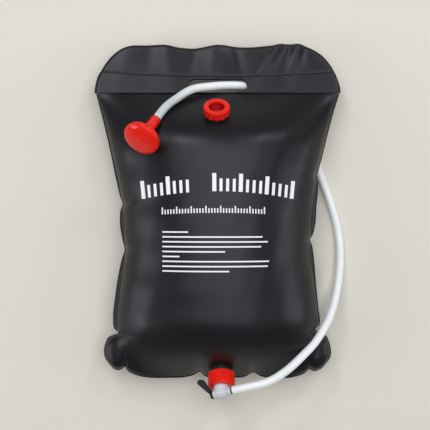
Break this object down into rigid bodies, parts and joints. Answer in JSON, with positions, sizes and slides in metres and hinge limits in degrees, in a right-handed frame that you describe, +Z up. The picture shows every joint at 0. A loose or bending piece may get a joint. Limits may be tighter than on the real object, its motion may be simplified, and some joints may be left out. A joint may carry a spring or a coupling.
{
  "type": "camp shower bag",
  "caption": "Filled camp shower bag lying flat, with a screw-capped filler, a hand slot in its header, an outlet tap with a lever, and a hose that ends in a shower head.",
  "frame": {"origin": "on the floor, in the middle of the space that the bag and its fittings take up in plan", "axes": "+X to the right of someone who looks down on the bag with its header away from them, +Y towards the header, +Z up"},
  "size_m": [0.3981, 0.5574, 0.1512],
  "materials": {
    "black_film": "satin",
    "red_plastic": "gloss",
    "milky_plastic": "translucent",
    "milky_hose": "translucent",
    "black_plastic": "satin",
    "black_rubber": "matte",
    "white_plastic": "satin"
  },
  "bodies": {
    "bag": {"front_panel": "black_film", "back_panel": "black_film", "header_front_sheet": "black_film", "header_back_sheet": "black_film", "header_stiffener": "white_plastic", "filler_neck": "black_plastic", "outlet_neck": "black_plastic", "outlet_gasket": "black_rubber", "tap_body": "milky_plastic", "plug_retaining_ring": "white_plastic", "barb_ring": "black_rubber", "hose": "milky_hose", "head_shell": "red_plastic", "head_seal_ring": "black_rubber", "head_rose": "red_plastic"},
    "filler_seal": {"filler_gasket": "black_rubber"},
    "cap": {"filler_cap": "red_plastic"},
    "nut_ring": {"nut_slip_ring": "white_plastic"},
    "nut": {"outlet_nut": "red_plastic"},
    "tap_valve": {"tap_plug": "black_plastic", "tap_lever": "black_plastic", "plug_o_ring_inner": "black_rubber", "plug_o_ring_outer": "black_rubber"}
  },
  "joints": [
    {"name": "cap_rise", "type": "slide", "parent": "bag", "child": "filler_seal", "axis": [0, 0.7055, 0.7087], "range_m": [0, 0.008]},
    {"name": "cap_turn", "type": "hinge", "parent": "filler_seal", "child": "cap", "pos_m": [-0.0015, 0.15854, 0.09085], "axis": [0, 0.7055, 0.7087], "range_deg": [0, 720]},
    {"name": "nut_travel", "type": "slide", "parent": "bag", "child": "nut_ring", "axis": [0, -0.7994, 0.6007], "range_m": [0, 0.002]},
    {"name": "nut_turn", "type": "hinge", "parent": "nut_ring", "child": "nut", "pos_m": [0.006, -0.23648, 0.05655], "axis": [0, -0.7994, 0.6007], "range_deg": [0, 240]},
    {"name": "tap_turn", "type": "hinge", "parent": "bag", "child": "tap_valve", "pos_m": [0.006, -0.26806, 0.08028], "axis": [0.8829, 0.282, 0.3753], "range_deg": [0, 90]}
  ],
  "couplings": [
    {"joint": "cap_rise", "follows": "cap_turn", "m_per_rad": 0.00063661},
    {"joint": "nut_travel", "follows": "nut_turn", "m_per_rad": 0.00047746}
  ]
}
